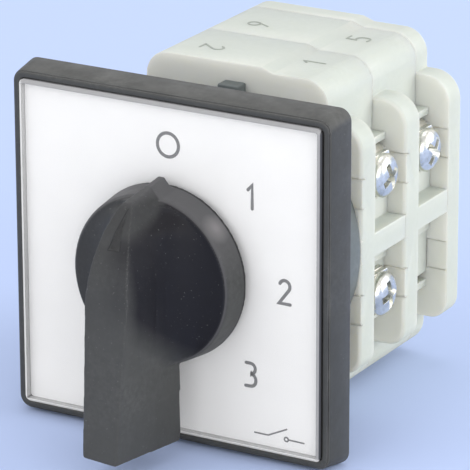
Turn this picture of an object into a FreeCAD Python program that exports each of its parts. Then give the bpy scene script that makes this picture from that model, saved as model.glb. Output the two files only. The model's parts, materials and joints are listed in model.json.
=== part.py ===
import FreeCAD, Part
import math
import os

# Rotary cam switch for a control panel, in millimetres.
# The origin is on the shaft axis in the plane of the panel's front. X is to the right, Y goes back
# through the panel and Z is up. Everything in front of the panel has a negative Y.

V = FreeCAD.Vector

# Front plate with its clear cover and label
plate_size = 64.0
plate_taper = 0.7
plate_height = 6.3
plate_corner = 2.3
plate_edge_bevel = 0.4
plate_lip = 1.4
plate_rim = 2.4
plate_floor = 2.3
plate_hub_radius = 10.0
plate_hub_behind = 2.0
cover_rise = 0.7
cover_thickness = 1.2
cover_corner = 1.0
cover_bevel = 0.5
cover_play = 0.1
label_margin = 1.1
label_corner = 0.6
label_thickness = 0.5
gasket_width = 2.5
gasket_play = 0.2

# Fixing screws that clamp the panel
fixing_spacing = 28.0
fixing_radius = 2.0
fixing_head_radius = 3.5
fixing_head_height = 2.3
fixing_boss_radius = 5.0
fixing_length = 15.0
panel_gap = 3.0

# Detent housing
detent_diameter = 48.0
detent_depth = 13.8
detent_front_wall = 2.5
collar_radius = 8.5
lug_width = 4.0
lug_height = 2.5
lug_depth = 3.0
lug_root = 4.0

# Stages: one moulded housing for each pair of contacts
stage_count = 2
stage_pitch = 16.5
fin_thickness = 5.1
rear_cover_depth = 5.0
block_width = 36.4
block_height = 60.0
block_corner = 4.5
block_step_rise = 0.8
block_step_left = 5.1
block_step_right = 7.4
wing_reach = 6.8
wing_inset = 7.0
wing_corner = 5.0
wing_foot_corner = 3.5
wing_bevel = 0.5
seat_step = 2.7
seat_rise = 6.0
ledge_step = 0.5
ledge_height = 12.0
crossbar_height = 4.4
stage_wall = 2.2
stage_front_wall = 2.0
fin_pocket_depth = 0.6
fin_pocket_low = 8.0
fin_pocket_high = 13.4
cover_edge_bevel = 0.5

# Tie screws that hold the stack together
tie_outset = 0.6
tie_radius = 1.5
tie_head_radius = 2.8
tie_head_height = 2.4
tie_engagement = 9.0

# Shaft, detent wheel and stop
turn_range = 135.0
position_step = 45.0
shaft_square = 6.0
journal_radius = 2.9
journal_length = 4.6
shaft_in_handle = 4.0
shaft_in_cover = 2.8
bush_radius = 6.0
bush_engagement = 1.0
wheel_radius = 10.5
notch_depth = 1.8
wheel_room = 0.8
wheel_rear_gap = 1.9
stop_disc_thickness = 2.0
stop_disc_radius = 6.6
stop_finger_reach = 10.0
stop_finger_angle = 24.0
leaf_thickness = 0.5
leaf_side_gap = 0.5
leaf_half_length = 9.0
leaf_nose_radius = 2.0
leaf_rise = 4.8
leaf_room_start = 4.0

# Cams and contacts
cam_radius = 11.0
cam_lift = 2.0
cam_width = 6.0
cam_room = 1.0
plunger_width = 8.0
plunger_depth = 7.8
plunger_nose = 2.0
plunger_cheek_rise = 1.6
bridge_length = 24.0
bridge_width = 5.0
bridge_thickness = 1.0
button_radius = 1.8
button_height = 0.8
button_spacing = 19.0
strip_thickness = 1.0
strip_width = 6.4
strip_rise = 3.6
strip_drop = 4.0
strip_inner_end = 6.5
strip_bend = 1.4
shelf_thickness = 2.6
spring_radius = 2.0
spring_wire_radius = 0.3
spring_turns = 3.5
spring_steps = 10
spring_sides = 5

# Terminals
terminal_height = 11.0
terminal_screw_radius = 2.0
terminal_head_radius = 4.0
terminal_head_height = 2.3
terminal_screw_length = 5.3
clamp_size = 7.6
clamp_thickness = 1.0
clamp_corner = 0.8

# Handle
knob_radius = 15.2
knob_draft = 0.6
knob_height = 5.65
knob_edge_bevel = 0.5
knob_hub_radius = 7.0
knob_hub_end_gap = 0.3
grip_height = 22.5
grip_tail = 28.0
grip_tail_height = 17.5
grip_apex_height = 12.8
grip_apex_setback = 1.5
grip_bulge_height = 17.9
grip_bulge_reach = 8.6
grip_ridge_height = 20.1
grip_tail_heel = 1.0
grip_half_width = 6.3
grip_shoulder_half_width = 4.3
grip_shoulder_reach = 12.0
grip_tail_half_width = 5.4
grip_nose_half_width = 1.1
crest_half_width = 3.9
crest_shoulder_half_width = 2.8
crest_shoulder_reach = 7.4
crest_tail_half_width = 3.0
crest_nose_half_width = 0.8
crest_tip_setback = 2.8
blend_radius = 3.6
blend_steps = 3
tip_reach = 17.4
tip_rear = 1.5
pointer_length = 6.3
pointer_width = 2.3
pointer_top = 15.3
pointer_depth = 1.6
pointer_sink = 0.25
pointer_play = 0.08
set_screw_radius = 1.5
set_screw_length = 5.5
set_screw_key = 0.85
set_screw_key_depth = 1.6
seal_radius = 0.7
seal_sides = 6
seal_groove = 1.6

# Clearances
running_play = 0.06
sliding_play = 0.25
cam_play = 0.25
square_play = 0.05
thread_play = 0.03
rotor_gap = 0.35
axial_play = 0.2
contact_play = 0.05
slot_play = 0.05
stop_play_angle = 1.0

# Sizes that follow from those above
plate_front_size = plate_size - 2 * plate_taper
plate_well_size = plate_front_size - 2 * plate_lip
cover_size = plate_well_size - 2 * cover_play
wing_width = block_width + 2 * wing_reach
wing_height = block_height - 2 * wing_inset
seat_width = block_width + 2 * seat_step
seat_height = 2 * (terminal_height + seat_rise)
ledge_width = seat_width + 2 * ledge_step
tie_spacing = block_width + 2 * tie_outset
strip_level = terminal_height + strip_rise
knob_rear_radius = knob_radius + knob_draft

# Levels along Y, from the front to the back
y_lip = -plate_height
y_cover = y_lip - cover_rise
y_label = y_cover + cover_thickness
y_floor = y_label + label_thickness
y_floor_back = y_floor + plate_floor
y_hub_back = y_floor_back + plate_hub_behind
y_knob_rear = y_cover - rotor_gap
y_knob_front = y_knob_rear - knob_height
y_grip = y_cover - grip_height
y_detent = panel_gap
y_stages = y_detent + detent_depth
y_rear_cover = y_stages + stage_count * stage_pitch
y_back = y_rear_cover + rear_cover_depth
y_shaft_front = y_knob_rear - shaft_in_handle
y_shaft_rear = y_rear_cover + shaft_in_cover
y_journal = y_shaft_rear - journal_length

contacts = [(0, "upper"), (0, "lower"), (1, "upper")]


def stage_front(index):
    return y_stages + index * stage_pitch


def contact_level(index):
    """Middle of a stage's terminal chamber, where its contacts lie."""
    return stage_front(index) + (fin_thickness + stage_pitch) / 2


# Shapes that everything is made of


def box(x0, x1, y0, y1, z0, z1):
    return Part.makeBox(x1 - x0, y1 - y0, z1 - z0, V(x0, y0, z0))


def disc(radius, y0, y1, x=0.0, z=0.0):
    return Part.makeCylinder(radius, y1 - y0, V(x, y0, z), V(0, 1, 0))


def rod(radius, x0, x1, y, z):
    """A cylinder that lies along X."""
    return Part.makeCylinder(radius, x1 - x0, V(x0, y, z), V(1, 0, 0))


def square_bar(side, y0, y1):
    return box(-side / 2, side / 2, y0, y1, -side / 2, side / 2)


def outline(corners, y):
    """A closed wire through corners (x, z, radius) at the level y, each corner rounded by its radius."""
    points = [V(x, y, z) for x, z, radius in corners]
    turns = []
    for i, (x, z, radius) in enumerate(corners):
        corner = points[i]
        if radius <= 0:
            turns.append((corner, None, corner))
            continue
        back = (points[i - 1] - corner).normalize()
        ahead = (points[(i + 1) % len(points)] - corner).normalize()
        half = back.getAngle(ahead) / 2
        reach = radius / math.tan(half)
        centre = corner + (back + ahead).normalize() * (radius / math.sin(half))
        middle = centre + (corner - centre).normalize() * radius
        turns.append((corner + back * reach, middle, corner + ahead * reach))
    edges = []
    for i, (start, middle, end) in enumerate(turns):
        if middle is not None:
            edges.append(Part.Arc(start, middle, end).toShape())
        following = turns[(i + 1) % len(turns)][0]
        if (following - end).Length > 1e-6:
            edges.append(Part.LineSegment(end, following).toShape())
    return Part.Wire(edges)


def slab(corners, y0, y1):
    return Part.Face(outline(corners, y0)).extrude(V(0, y1 - y0, 0))


def rectangle(width, height, radius):
    x, z = width / 2, height / 2
    return [(-x, -z, radius), (x, -z, radius), (x, z, radius), (-x, z, radius)]


def fuse(shapes):
    whole = shapes[0]
    for shape in shapes[1:]:
        whole = whole.fuse(shape)
    return whole.removeSplitter()


def mirror_x(shape):
    return shape.mirror(V(0, 0, 0), V(1, 0, 0))


def half_turn(shape):
    """The same shape for the lower contact, turned half round about the shaft axis."""
    turned = shape.copy()
    turned.rotate(V(0, 0, 0), V(0, 1, 0), 180)
    return turned


def both_sides(shape):
    return [shape, mirror_x(shape)]


def four_corners(spacing):
    h = spacing / 2
    return [(x, z) for x in (-h, h) for z in (-h, h)]


def save(name, shapes):
    solids = []
    for shape in shapes:
        solids.extend(shape.Solids)
    whole = solids[0] if len(solids) == 1 else Part.makeCompound(solids)
    whole.exportStep("parts/" + name + ".step")


# Front plate, cover, label and gasket


def front_plate():
    back = outline(rectangle(plate_size, plate_size, plate_corner), 0)
    bevel_start = outline(
        rectangle(plate_front_size, plate_front_size, plate_corner), y_lip + plate_edge_bevel
    )
    bevelled = plate_front_size - 2 * plate_edge_bevel
    front = outline(rectangle(bevelled, bevelled, plate_corner - plate_edge_bevel), y_lip)
    body = Part.makeLoft([back, bevel_start], True, True).fuse(
        Part.makeLoft([bevel_start, front], True, True)
    )
    well = rectangle(plate_well_size, plate_well_size, cover_corner + cover_play)
    body = body.cut(slab(well, y_lip, y_floor))
    inside = plate_size - 2 * plate_rim
    rim_corner = plate_corner - plate_taper
    hollow = slab(rectangle(inside, inside, rim_corner), y_floor_back, 0)
    hollow = hollow.cut(disc(plate_hub_radius, y_floor_back, y_hub_back))
    for x, z in four_corners(fixing_spacing):
        hollow = hollow.cut(disc(fixing_boss_radius, y_floor_back, 0, x, z))
    body = body.cut(hollow)
    body = body.cut(disc(knob_hub_radius + running_play, y_floor, y_hub_back))
    for x, z in four_corners(fixing_spacing):
        head_seat = y_floor + fixing_head_height + axial_play
        body = body.cut(disc(fixing_head_radius + sliding_play, y_floor, head_seat, x, z))
        body = body.cut(disc(fixing_radius + sliding_play, head_seat, 0, x, z))
    return body.removeSplitter()


def clear_cover():
    edge = rectangle(cover_size, cover_size, cover_corner)
    rear = outline(edge, y_label)
    shoulder = outline(edge, y_cover + cover_bevel)
    inner = cover_size - 2 * cover_bevel
    front = outline(rectangle(inner, inner, cover_corner - cover_bevel), y_cover)
    pane = Part.makeLoft([rear, shoulder], True, True).fuse(
        Part.makeLoft([shoulder, front], True, True)
    )
    return pane.cut(disc(knob_hub_radius + rotor_gap, y_cover, y_label)).removeSplitter()


def label_plate():
    size = cover_size - 2 * label_margin
    plate = slab(rectangle(size, size, label_corner), y_label, y_floor)
    return plate.cut(disc(knob_hub_radius + rotor_gap, y_label, y_floor))


def panel_gasket():
    outer = plate_size - 2 * plate_rim - 2 * gasket_play
    inner = outer - 2 * gasket_width
    ring = slab(rectangle(outer, outer, plate_corner - plate_taper), y_floor_back, 0)
    return ring.cut(slab(rectangle(inner, inner, 0), y_floor_back, 0))


def fixing_screw(x, z):
    head_back = y_floor + fixing_head_height + axial_play
    head = disc(fixing_head_radius, head_back - fixing_head_height, head_back, x, z)
    return head.fuse(disc(fixing_radius, head_back, head_back + fixing_length, x, z))


# Detent housing with its wheel, stop and leaf springs


def polar(radius, angle, y):
    """A point about the axis, its angle counted clockwise from the top as seen from the front."""
    turn = math.radians(angle)
    return V(radius * math.sin(turn), y, radius * math.cos(turn))


def sector(radius, angle_from, angle_to, y0, y1):
    """A pie slice about the axis between two angles."""
    centre = V(0, y0, 0)
    start = polar(radius, angle_from, y0)
    middle = polar(radius, (angle_from + angle_to) / 2, y0)
    end = polar(radius, angle_to, y0)
    edges = [
        Part.LineSegment(centre, start).toShape(),
        Part.Arc(start, middle, end).toShape(),
        Part.LineSegment(end, centre).toShape(),
    ]
    return Part.Face(Part.Wire(edges)).extrude(V(0, y1 - y0, 0))


def detent_housing():
    body = disc(detent_diameter / 2, y_detent, y_stages)
    body = body.fuse(disc(collar_radius, y_hub_back, y_detent))
    rim = detent_diameter / 2
    half_lug = lug_width / 2
    body = body.fuse(
        box(-half_lug, half_lug, y_stages - lug_depth, y_stages, rim - lug_root, rim + lug_height)
    )
    y_stop = y_detent + detent_front_wall
    y_wheel = y_stop + stop_disc_thickness + 2 * axial_play
    body = body.cut(disc(bush_radius + running_play, y_hub_back, y_stop))
    body = body.cut(disc(stop_disc_radius + sliding_play, y_stop, y_wheel))
    middle = 180.0
    half = (turn_range + stop_finger_angle) / 2 + stop_play_angle
    body = body.cut(
        sector(stop_finger_reach + sliding_play, middle - half, middle + half, y_stop, y_wheel)
    )
    body = body.cut(disc(wheel_radius + wheel_room, y_wheel, y_stages))
    for leaf_slot in both_sides(leaf_room(y_wheel)):
        body = body.cut(leaf_slot)
    for x, z in four_corners(fixing_spacing):
        tip = y_floor + fixing_head_height + fixing_length + 2 * axial_play
        body = body.cut(disc(fixing_radius + thread_play, y_detent, tip, x, z))
    for x in (-tie_spacing / 2, tie_spacing / 2):
        end = y_stages - tie_engagement - 2 * axial_play
        body = body.cut(disc(tie_radius + thread_play, end, y_stages, x, 0))
    return body.removeSplitter()


def leaf_nose():
    """Where the inside of the leaf's nose touches the wheel's notch."""
    return wheel_radius - notch_depth + cam_play


def leaf_room(y_wheel):
    outer = leaf_nose() + leaf_rise + leaf_thickness + sliding_play
    half = leaf_half_length + sliding_play
    return box(leaf_room_start, outer, y_wheel, y_stages, -half, half)


def detent_leaf():
    """A bent strip on the right, its nose in the wheel's notch and its ends against the housing."""
    near = leaf_nose()
    far = near + leaf_rise
    slope = math.atan2(leaf_rise, leaf_half_length)
    shift = leaf_thickness / math.cos(slope)
    corners = [
        (near, 0, leaf_nose_radius),
        (far, leaf_half_length, 0),
        (far + shift, leaf_half_length, 0),
        (near + shift, 0, leaf_nose_radius - leaf_thickness),
        (far + shift, -leaf_half_length, 0),
        (far, -leaf_half_length, 0),
    ]
    return slab(corners, wheel_front() + leaf_side_gap, wheel_rear() - leaf_side_gap)


def wheel_front():
    return y_detent + detent_front_wall + stop_disc_thickness + 3 * axial_play


def wheel_rear():
    return y_stages - wheel_rear_gap


def star_wheel():
    """A wheel whose rim is made of arcs in turn: a hollow at each position and a crest between two."""
    y0 = wheel_front()
    floor = wheel_radius - notch_depth
    mean = wheel_radius - notch_depth / 2
    edges = []
    for i in range(round(360.0 / position_step)):
        angle = i * position_step
        quarter = position_step / 4
        before = polar(mean, angle - quarter, y0)
        between = polar(mean, angle + quarter, y0)
        after = polar(mean, angle + 3 * quarter, y0)
        crest = polar(wheel_radius, angle + 2 * quarter, y0)
        edges.append(Part.Arc(before, polar(floor, angle, y0), between).toShape())
        edges.append(Part.Arc(between, crest, after).toShape())
    wheel = Part.Face(Part.Wire(edges)).extrude(V(0, wheel_rear() - y0, 0))
    return wheel.cut(square_bar(shaft_square + 2 * square_play, y0, wheel_rear()))


def stop_disc():
    y0 = y_detent + detent_front_wall + axial_play
    y1 = y0 + stop_disc_thickness
    start = 180.0 - turn_range / 2 - stop_finger_angle / 2
    finger = sector(stop_finger_reach, start, start + stop_finger_angle, y0, y1)
    plate = disc(stop_disc_radius, y0, y1).fuse(finger).removeSplitter()
    return plate.cut(square_bar(shaft_square + 2 * square_play, y0, y1))


def front_bush():
    y0 = y_hub_back + axial_play
    y1 = y_detent + detent_front_wall
    bush = disc(bush_radius, y0, y1)
    return bush.cut(square_bar(shaft_square + 2 * square_play, y0, y1))


def switch_shaft():
    bar = square_bar(shaft_square, y_shaft_front, y_journal)
    return bar.fuse(disc(journal_radius, y_journal, y_shaft_rear))


# Stage housings and the rear cover


def block_corners():
    x, z = block_width / 2, block_height / 2
    raised = z + block_step_rise
    return [
        (-x, -z, block_corner),
        (x, -z, block_corner),
        (x, z, block_corner),
        (block_step_right, z, 0),
        (block_step_left, raised, 0),
        (-x, raised, block_corner),
    ]


def wing_corners():
    x, z = wing_width / 2, wing_height / 2
    foot = wing_foot_corner
    return [(-x, -z, foot), (x, -z, foot), (x, z, wing_corner), (-x, z, wing_corner)]


def edges_at(shape, y):
    """The edges that lie in the plane at y."""
    return [e for e in shape.Edges if max(abs(v.Point.y - y) for v in e.Vertexes) < 1e-6]


def fin_pockets(y0):
    """Shallow steps in the front face of the fin, open to the sides."""
    pockets = []
    for z0, z1 in ((fin_pocket_low, fin_pocket_high), (-fin_pocket_high, -fin_pocket_low)):
        cut = box(seat_width / 2, wing_width / 2, y0, y0 + fin_pocket_depth, z0, z1)
        pockets.extend(both_sides(cut))
    return pockets


def stage_housing(index):
    y0 = stage_front(index)
    y1 = y0 + stage_pitch
    y_mid = contact_level(index)
    block = slab(block_corners(), y0, y1)
    fin = slab(wing_corners(), y0, y0 + fin_thickness)
    fin = fin.makeChamfer(wing_bevel, edges_at(fin, y0))
    seat = slab(rectangle(seat_width, seat_height, 0), y0, y1)
    ledge = slab(rectangle(ledge_width, ledge_height, 0), y0, y1)
    bar = slab(rectangle(wing_width, crossbar_height, 0), y0, y1)
    body = fuse([block, fin, seat, ledge, bar])

    inner_x = block_width / 2 - stage_wall
    inner_z = block_height / 2 - stage_wall
    y_in = y0 + stage_front_wall
    cavity = slab(rectangle(2 * inner_x, 2 * inner_z, block_corner - stage_wall), y_in, y1)
    guide = plunger_width / 2 + sliding_play
    for z_top in (strip_level - slot_play, shelf_thickness - strip_level + slot_play):
        shelf = box(guide, inner_x, y_in, y1, z_top - shelf_thickness, z_top)
        for side in both_sides(shelf):
            cavity = cavity.cut(side)
    cavity = cavity.fuse(disc(cam_radius + cam_room, y_in, y1))
    body = body.cut(cavity)
    body = body.cut(disc(bush_radius + sliding_play, y0, y_in))

    for strip_side in both_sides(strip_slot(y_mid, y1)):
        body = body.cut(strip_side).cut(half_turn(strip_side))
    screw_end = seat_width / 2 + strip_thickness + clamp_thickness - terminal_screw_length
    pilot_radius = terminal_screw_radius + sliding_play
    pilot = rod(pilot_radius, screw_end - axial_play, seat_width / 2, y_mid, terminal_height)
    for hole in both_sides(pilot):
        body = body.cut(hole).cut(half_turn(hole))
    for x in (-tie_spacing / 2, tie_spacing / 2):
        body = body.cut(disc(tie_radius + axial_play, y0, y1, x, 0))
    for pocket in fin_pockets(y0):
        body = body.cut(pocket)
    return body.removeSplitter()


def strip_slot(y_mid, y1):
    """The way through the seat wall for a strip, open to the back and eased where the strip bends."""
    inside = block_width / 2 - stage_wall - slot_play
    outside = seat_width / 2
    y0 = y_mid - strip_width / 2 - slot_play
    z0 = strip_level - slot_play
    way = box(inside, outside, y0, y1, z0, z0 + strip_thickness + 2 * slot_play)
    ease = strip_bend - strip_thickness
    return way.fuse(box(outside - ease, outside, y0, y1, strip_level - ease, z0))


def rear_cover():
    block = slab(block_corners(), y_rear_cover, y_back)
    fin = slab(wing_corners(), y_rear_cover, y_back)
    body = block.fuse(fin).removeSplitter()
    body = body.makeChamfer(cover_edge_bevel, edges_at(body, y_back))
    body = body.cut(disc(journal_radius + running_play, y_rear_cover, y_shaft_rear + axial_play))
    for x in (-tie_spacing / 2, tie_spacing / 2):
        body = body.cut(disc(tie_radius + axial_play, y_rear_cover, y_back, x, 0))
        seat = y_back - tie_head_height - axial_play
        body = body.cut(disc(tie_head_radius + sliding_play, seat, y_back, x, 0))
    for pocket in fin_pockets(y_rear_cover):
        body = body.cut(pocket)
    return body.removeSplitter()


def tie_screw(x):
    head_front = y_back - tie_head_height - axial_play
    head = disc(tie_head_radius, head_front, head_front + tie_head_height, x, 0)
    return head.fuse(disc(tie_radius, y_stages - tie_engagement, head_front, x, 0))


# Cams, plungers, bridges and springs


def cam_radius_at(angle):
    """Radius of the cam: it falls evenly over the handle's travel and rises again before the next lobe."""
    behind = (-angle) % 180.0
    if behind <= turn_range:
        return cam_radius - cam_lift * behind / turn_range
    return cam_radius - cam_lift * (180.0 - behind) / (180.0 - turn_range)


def cam_arcs(start, end, count, y):
    """Arcs that follow the cam's radius between two angles."""
    arcs = []
    step = (end - start) / count
    for i in range(count):
        angles = [start + step * (i + part) for part in (0, 0.5, 1)]
        a, b, c = [polar(cam_radius_at(angle), angle, y) for angle in angles]
        arcs.append(Part.Arc(a, b, c).toShape())
    return arcs


def cam(index):
    y_mid = contact_level(index)
    y0 = y_mid - cam_width / 2
    edges = []
    for lobe_angle in (0.0, 180.0):
        low_angle = lobe_angle + 180.0 - turn_range
        edges.extend(cam_arcs(lobe_angle, low_angle, 1, y0))
        edges.extend(cam_arcs(low_angle, lobe_angle + 180.0, 3, y0))
    lobe = Part.Face(Part.Wire(edges)).extrude(V(0, cam_width, 0))
    hub_front = stage_front(index) + bush_engagement
    if index == 0:
        hub_front = wheel_rear()
    hub_rear = stage_front(index + 1) + bush_engagement
    if index == stage_count - 1:
        hub_rear = y_journal - axial_play
    body = lobe.fuse(disc(bush_radius, hub_front, hub_rear)).removeSplitter()
    return body.cut(square_bar(shaft_square + 2 * square_play, hub_front, hub_rear))


def bridge_level():
    """Underside of the bridge at rest, with the contacts open."""
    closed = strip_level + strip_thickness + 2 * button_height + contact_play
    return closed + cam_lift


def plunger(index):
    """The follower: a rounded nose on the cam, a guided stem and two cheeks beside the bridge."""
    y_mid = contact_level(index)
    half_x, half_y = plunger_width / 2, plunger_depth / 2
    foot = cam_radius + cam_play
    top = bridge_level()
    shoulder = foot + plunger_nose
    stem = box(-half_x, half_x, y_mid - half_y, y_mid + half_y, shoulder, top)
    body = stem.fuse(disc(plunger_nose, y_mid - half_y, y_mid + half_y, 0, shoulder))
    cheek_top = top + bridge_thickness + plunger_cheek_rise
    inner = bridge_width / 2 + contact_play
    for side in (-1, 1):
        y_a = y_mid + side * inner
        y_b = y_mid + side * half_y
        body = body.fuse(box(-half_x, half_x, min(y_a, y_b), max(y_a, y_b), top, cheek_top))
    return body.removeSplitter()


def bridge(index):
    y_mid = contact_level(index)
    z0 = bridge_level()
    half = bridge_width / 2
    bar = box(-bridge_length / 2, bridge_length / 2, y_mid - half, y_mid + half, z0, z0 + bridge_thickness)
    for x in (-button_spacing / 2, button_spacing / 2):
        button = Part.makeCylinder(button_radius, button_height, V(x, y_mid, z0 - button_height))
        bar = bar.fuse(button)
    return bar.removeSplitter()


def contact_spring(index):
    """A coil between the bridge and the housing's outer wall, faceted evenly round its turns."""
    y_mid = contact_level(index)
    low = bridge_level() + bridge_thickness + spring_wire_radius + contact_play
    high = block_height / 2 - stage_wall - spring_wire_radius - contact_play
    steps = round(spring_turns * spring_steps)
    sections = []
    for i in range(steps + 1):
        turn = 2 * math.pi * i / spring_steps
        level = low + (high - low) * i / steps
        ring = []
        for k in range(spring_sides + 1):
            around = 2 * math.pi * (k + 0.5) / spring_sides
            reach = spring_radius + spring_wire_radius * math.cos(around)
            z = level + spring_wire_radius * math.sin(around)
            ring.append(V(reach * math.cos(turn), y_mid + reach * math.sin(turn), z))
        sections.append(Part.makePolygon(ring))
    return Part.makeLoft(sections, True, True)


def terminal_strip(index):
    """The right-hand strip: a button inside, a leg out through the wall and a leg down under the screw."""
    y_mid = contact_level(index)
    outer = seat_width / 2 + strip_thickness
    z_top = strip_level + strip_thickness
    strip_low = terminal_height - strip_drop
    corners = [
        (strip_inner_end, strip_level, 0),
        (seat_width / 2, strip_level, strip_bend - strip_thickness),
        (seat_width / 2, strip_low, 0),
        (outer, strip_low, 0),
        (outer, z_top, strip_bend),
        (strip_inner_end, z_top, 0),
    ]
    strip = slab(corners, y_mid - strip_width / 2, y_mid + strip_width / 2)
    button = Part.makeCylinder(button_radius, button_height, V(button_spacing / 2, y_mid, z_top))
    strip = strip.fuse(button).removeSplitter()
    hole = rod(terminal_screw_radius + thread_play, seat_width / 2, outer, y_mid, terminal_height)
    return strip.cut(hole)


def clamp_washer(index):
    y_mid = contact_level(index)
    x0 = seat_width / 2 + strip_thickness
    half = clamp_size / 2
    low, high = terminal_height - half, terminal_height + half
    plate = box(x0, x0 + clamp_thickness, y_mid - half, y_mid + half, low, high)
    corners = [e for e in plate.Edges if abs(e.Length - clamp_thickness) < 1e-6]
    plate = plate.makeChamfer(clamp_corner, corners)
    hole = rod(terminal_screw_radius + thread_play, x0, x0 + clamp_thickness, y_mid, terminal_height)
    return plate.cut(hole)


def terminal_screw(index):
    y_mid = contact_level(index)
    x0 = seat_width / 2 + strip_thickness + clamp_thickness
    head = rod(terminal_head_radius, x0, x0 + terminal_head_height, y_mid, terminal_height)
    shank = rod(terminal_screw_radius, x0 - terminal_screw_length, x0, y_mid, terminal_height)
    return head.fuse(shank)


# Handle


def grip_profile(shift):
    """The grip seen from the side, as a plate wider than the knob, moved back by shift."""
    tail, tip = -grip_tail, tip_reach
    apex = V(0, y_cover - grip_apex_height, tip - grip_apex_setback)
    bulge = V(0, y_cover - grip_bulge_height, grip_bulge_reach)
    ridge = V(0, y_cover - grip_ridge_height, 0)
    tail_rear = y_grip + grip_tail_height
    heel = grip_tail_heel - knob_radius
    points = [
        V(0, y_grip, tail),
        V(0, tail_rear, tail),
        V(0, tail_rear, heel),
        V(0, y_cover - tip_rear, heel + grip_tail_heel),
        V(0, y_cover - tip_rear, tip),
        apex,
    ]
    edges = [Part.LineSegment(a, b).toShape() for a, b in zip(points, points[1:])]
    edges.append(Part.Arc(apex, bulge, ridge).toShape())
    edges.append(Part.LineSegment(ridge, points[0]).toShape())
    plate = Part.Face(Part.Wire(edges)).extrude(V(2 * knob_radius, 0, 0))
    plate.translate(V(-knob_radius, shift, 0))
    return plate


def grip_section(y, grow=0.0):
    """The grip seen from the front at one level: a blunt nose, a full middle and a narrower tail."""
    share = (y_cover - tip_rear - y) / (grip_height - tip_rear)

    def between(rear, front):
        return rear + (front - rear) * share

    tip = between(tip_reach, tip_reach - crest_tip_setback) + grow
    wide = between(grip_half_width, crest_half_width) + grow
    bend_x = between(grip_shoulder_half_width, crest_shoulder_half_width) + grow
    bend_z = between(grip_shoulder_reach, crest_shoulder_reach)
    tail_wide = between(grip_tail_half_width, crest_tail_half_width) + grow
    nose = between(grip_nose_half_width, crest_nose_half_width) + grow
    tail = -grip_tail
    left = Part.Arc(V(-wide, y, 0), V(-bend_x, y, bend_z), V(-nose, y, tip)).toShape()
    end = Part.LineSegment(V(-nose, y, tip), V(nose, y, tip)).toShape()
    right = Part.Arc(V(nose, y, tip), V(bend_x, y, bend_z), V(wide, y, 0)).toShape()
    sides = [
        Part.LineSegment(V(wide, y, 0), V(tail_wide, y, tail)).toShape(),
        Part.LineSegment(V(tail_wide, y, tail), V(-tail_wide, y, tail)).toShape(),
        Part.LineSegment(V(-tail_wide, y, tail), V(-wide, y, 0)).toShape(),
    ]
    return Part.Wire([left, end, right] + sides)


def grip_body():
    sections = [grip_section(y_cover - tip_rear), grip_section(y_grip)]
    return Part.makeLoft(sections, True, True).common(grip_profile(0))


def grip_blend():
    """The hollow curve where the grip's sides run out into the knob's face."""
    sections = []
    for i in range(blend_steps + 1):
        turn = math.pi / 2 * i / blend_steps
        rise = blend_radius * (1 - math.cos(turn))
        spread = blend_radius * (1 - math.sin(turn))
        sections.append(grip_section(y_knob_front - rise, spread))
    sides = Part.makeLoft(sections, True, True)
    inside = knob_radius - knob_edge_bevel
    return sides.common(disc(inside, y_knob_front - blend_radius, y_knob_front))


def pointer_prism(grow):
    """The narrow triangle of the pointer, as long as the grip is high."""
    half = pointer_width / 2 + grow
    low = pointer_top - pointer_length - grow
    corners = [(-half, low, 0), (half, low, 0), (0, pointer_top + grow, 0)]
    return slab(corners, y_grip, y_cover)


def knob():
    bevel = knob_edge_bevel
    points = [
        V(0, y_knob_front, 0),
        V(knob_radius - bevel, y_knob_front, 0),
        V(knob_radius, y_knob_front + bevel, 0),
        V(knob_rear_radius, y_knob_rear, 0),
        V(knob_hub_radius, y_knob_rear, 0),
        V(knob_hub_radius, y_hub_back - knob_hub_end_gap, 0),
        V(0, y_hub_back - knob_hub_end_gap, 0),
        V(0, y_knob_front, 0),
    ]
    face = Part.Face(Part.makePolygon(points))
    return face.revolve(V(0, 0, 0), V(0, 1, 0), 360)


def seal_level():
    return y_floor_back


def handle():
    body = knob().fuse(grip_body()).fuse(grip_blend()).removeSplitter()
    groove_floor = knob_hub_radius - 2 * seal_radius
    y0 = seal_level() - seal_groove / 2
    groove = disc(knob_hub_radius, y0, y0 + seal_groove).cut(disc(groove_floor, y0, y0 + seal_groove))
    body = body.cut(groove)
    socket = square_bar(shaft_square + 2 * square_play, y_shaft_front - axial_play, y_hub_back)
    body = body.cut(socket)
    y_screw = (y_knob_front + y_knob_rear) / 2
    body = body.cut(rod(set_screw_radius + thread_play, -knob_rear_radius, -shaft_square / 2, y_screw, 0))
    recess = pointer_prism(pointer_play).common(grip_profile(0).cut(grip_profile(pointer_depth)))
    return body.cut(recess)


def pointer_insert():
    layer = grip_profile(pointer_sink).cut(grip_profile(pointer_depth))
    return pointer_prism(0).common(layer)


def handle_set_screw():
    y_screw = (y_knob_front + y_knob_rear) / 2
    x_tip = -shaft_square / 2 - contact_play
    screw = rod(set_screw_radius, x_tip - set_screw_length, x_tip, y_screw, 0)
    x_end = x_tip - set_screw_length
    corners = []
    for i in range(7):
        turn = math.radians(60 * i)
        across, up = set_screw_key * math.cos(turn), set_screw_key * math.sin(turn)
        corners.append(V(x_end, y_screw + across, up))
    key = Part.Face(Part.makePolygon(corners)).extrude(V(set_screw_key_depth, 0, 0))
    return screw.cut(key)


def shaft_seal():
    """A sealing ring in the groove of the hub, its section a regular polygon about a small circle."""
    major = knob_hub_radius - seal_radius
    ring = []
    for k in range(seal_sides + 1):
        around = 2 * math.pi * (k + 0.5) / seal_sides
        reach = major + seal_radius * math.cos(around)
        ring.append(V(reach, seal_level() + seal_radius * math.sin(around), 0))
    return Part.Face(Part.makePolygon(ring)).revolve(V(0, 0, 0), V(0, 1, 0), 360)


# Everything is written, one file for each named piece


def place(shape, side):
    return shape if side == "upper" else half_turn(shape)


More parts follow.
